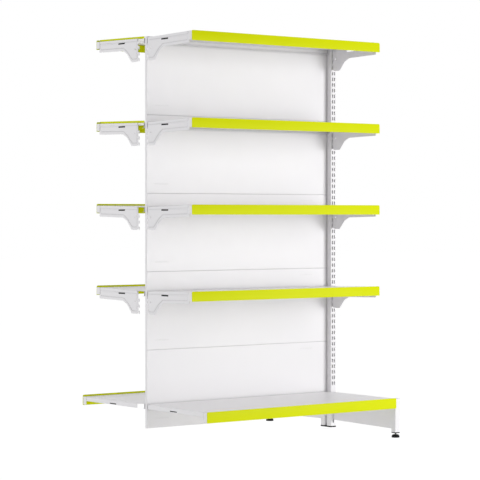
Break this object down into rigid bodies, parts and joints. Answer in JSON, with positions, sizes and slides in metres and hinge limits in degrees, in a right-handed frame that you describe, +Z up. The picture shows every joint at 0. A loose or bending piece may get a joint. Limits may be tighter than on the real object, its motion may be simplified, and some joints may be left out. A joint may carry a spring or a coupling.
{
  "type": "gondola shelving",
  "caption": "Double-sided shop gondola bay: slotted post, stacked back panels, hooked shelf trays with price strips, deeper base trays and levelling feet.",
  "frame": {"origin": "floor level, under the middle of the overall box", "axes": "+Z up, +X along the shelves towards the post, front shelves towards -Y"},
  "size_m": [1.0384, 0.903, 1.705],
  "materials": {
    "white_frame": "satin",
    "white_panel": "satin",
    "white_tray": "satin",
    "white_bracket": "satin",
    "yellow_strip": "gloss",
    "black_plastic": "matt",
    "zinc_steel": "zinc plated"
  },
  "bodies": {
    "frame": {"front_post": "white_frame", "rear_post": "white_frame", "post_web": "white_frame", "post_foot": "black_plastic", "panel_1": "white_panel", "panel_2": "white_panel", "panel_3": "white_panel", "panel_4": "white_panel", "panel_5": "white_panel", "leg_front": "white_frame", "leg_cap_front": "black_plastic", "leg_rear": "white_frame", "leg_cap_rear": "black_plastic"},
    "brackets_front_1": {"bracket_front_1_left": "white_bracket", "bracket_front_1_right": "white_bracket"},
    "shelf_front_1": {"tray_front_1": "white_tray", "price_strip_front_1": "yellow_strip"},
    "brackets_front_2": {"bracket_front_2_left": "white_bracket", "bracket_front_2_right": "white_bracket"},
    "shelf_front_2": {"tray_front_2": "white_tray", "price_strip_front_2": "yellow_strip"},
    "brackets_front_3": {"bracket_front_3_left": "white_bracket", "bracket_front_3_right": "white_bracket"},
    "shelf_front_3": {"tray_front_3": "white_tray", "price_strip_front_3": "yellow_strip"},
    "brackets_front_4": {"bracket_front_4_left": "white_bracket", "bracket_front_4_right": "white_bracket"},
    "shelf_front_4": {"tray_front_4": "white_tray", "price_strip_front_4": "yellow_strip"},
    "base_front": {"base_tray_front": "white_tray", "base_strip_front": "yellow_strip"},
    "pad_front": {"foot_pad_front": "black_plastic"},
    "stud_front": {"foot_stud_front": "zinc_steel"},
    "brackets_rear_1": {"bracket_rear_1_left": "white_bracket", "bracket_rear_1_right": "white_bracket"},
    "shelf_rear_1": {"tray_rear_1": "white_tray", "price_strip_rear_1": "yellow_strip", "end_strip_rear_1": "yellow_strip"},
    "brackets_rear_2": {"bracket_rear_2_left": "white_bracket", "bracket_rear_2_right": "white_bracket"},
    "shelf_rear_2": {"tray_rear_2": "white_tray", "price_strip_rear_2": "yellow_strip", "end_strip_rear_2": "yellow_strip"},
    "brackets_rear_3": {"bracket_rear_3_left": "white_bracket", "bracket_rear_3_right": "white_bracket"},
    "shelf_rear_3": {"tray_rear_3": "white_tray", "price_strip_rear_3": "yellow_strip"},
    "brackets_rear_4": {"bracket_rear_4_left": "white_bracket", "bracket_rear_4_right": "white_bracket"},
    "shelf_rear_4": {"tray_rear_4": "white_tray", "price_strip_rear_4": "yellow_strip"},
    "base_rear": {"base_tray_rear": "white_tray", "base_strip_rear": "yellow_strip"},
    "pad_rear": {"foot_pad_rear": "black_plastic"},
    "stud_rear": {"foot_stud_rear": "zinc_steel"}
  },
  "joints": [
    {"name": "unhook_front_1", "type": "slide", "parent": "frame", "child": "brackets_front_1", "axis": [0, 0, 1], "range_m": [0, 0.0075]},
    {"name": "lift_front_1", "type": "slide", "parent": "brackets_front_1", "child": "shelf_front_1", "axis": [0, 0, 1], "range_m": [0, 0.1]},
    {"name": "unhook_front_2", "type": "slide", "parent": "frame", "child": "brackets_front_2", "axis": [0, 0, 1], "range_m": [0, 0.0075]},
    {"name": "lift_front_2", "type": "slide", "parent": "brackets_front_2", "child": "shelf_front_2", "axis": [0, 0, 1], "range_m": [0, 0.1]},
    {"name": "unhook_front_3", "type": "slide", "parent": "frame", "child": "brackets_front_3", "axis": [0, 0, 1], "range_m": [0, 0.0075]},
    {"name": "lift_front_3", "type": "slide", "parent": "brackets_front_3", "child": "shelf_front_3", "axis": [0, 0, 1], "range_m": [0, 0.1]},
    {"name": "unhook_front_4", "type": "slide", "parent": "frame", "child": "brackets_front_4", "axis": [0, 0, 1], "range_m": [0, 0.0075]},
    {"name": "lift_front_4", "type": "slide", "parent": "brackets_front_4", "child": "shelf_front_4", "axis": [0, 0, 1], "range_m": [0, 0.1]},
    {"name": "lift_base_front", "type": "slide", "parent": "frame", "child": "base_front", "axis": [0, 0, 1], "range_m": [0, 0.1]},
    {"name": "foot_height_front", "type": "slide", "parent": "frame", "child": "pad_front", "axis": [0, 0, 1], "range_m": [-0.01, 0.005]},
    {"name": "foot_turn_front", "type": "hinge", "parent": "pad_front", "child": "stud_front", "pos_m": [0.50225, -0.434, 0.04], "axis": [0, 0, 1], "range_deg": [-2880, 1440]},
    {"name": "unhook_rear_1", "type": "slide", "parent": "frame", "child": "brackets_rear_1", "axis": [0, 0, 1], "range_m": [0, 0.0075]},
    {"name": "lift_rear_1", "type": "slide", "parent": "brackets_rear_1", "child": "shelf_rear_1", "axis": [0, 0, 1], "range_m": [0, 0.1]},
    {"name": "unhook_rear_2", "type": "slide", "parent": "frame", "child": "brackets_rear_2", "axis": [0, 0, 1], "range_m": [0, 0.0075]},
    {"name": "lift_rear_2", "type": "slide", "parent": "brackets_rear_2", "child": "shelf_rear_2", "axis": [0, 0, 1], "range_m": [0, 0.1]},
    {"name": "unhook_rear_3", "type": "slide", "parent": "frame", "child": "brackets_rear_3", "axis": [0, 0, 1], "range_m": [0, 0.0075]},
    {"name": "lift_rear_3", "type": "slide", "parent": "brackets_rear_3", "child": "shelf_rear_3", "axis": [0, 0, 1], "range_m": [0, 0.1]},
    {"name": "unhook_rear_4", "type": "slide", "parent": "frame", "child": "brackets_rear_4", "axis": [0, 0, 1], "range_m": [0, 0.0075]},
    {"name": "lift_rear_4", "type": "slide", "parent": "brackets_rear_4", "child": "shelf_rear_4", "axis": [0, 0, 1], "range_m": [0, 0.1]},
    {"name": "lift_base_rear", "type": "slide", "parent": "frame", "child": "base_rear", "axis": [0, 0, 1], "range_m": [0, 0.1]},
    {"name": "foot_height_rear", "type": "slide", "parent": "frame", "child": "pad_rear", "axis": [0, 0, 1], "range_m": [-0.01, 0.005]},
    {"name": "foot_turn_rear", "type": "hinge", "parent": "pad_rear", "child": "stud_rear", "pos_m": [0.50225, 0.434, 0.04], "axis": [0, 0, 1], "range_deg": [-2880, 1440]}
  ],
  "couplings": [
    {"joint": "foot_turn_front", "follows": "foot_height_front", "rad_per_m": 5026.5},
    {"joint": "foot_turn_rear", "follows": "foot_height_rear", "rad_per_m": 5026.5}
  ]
}
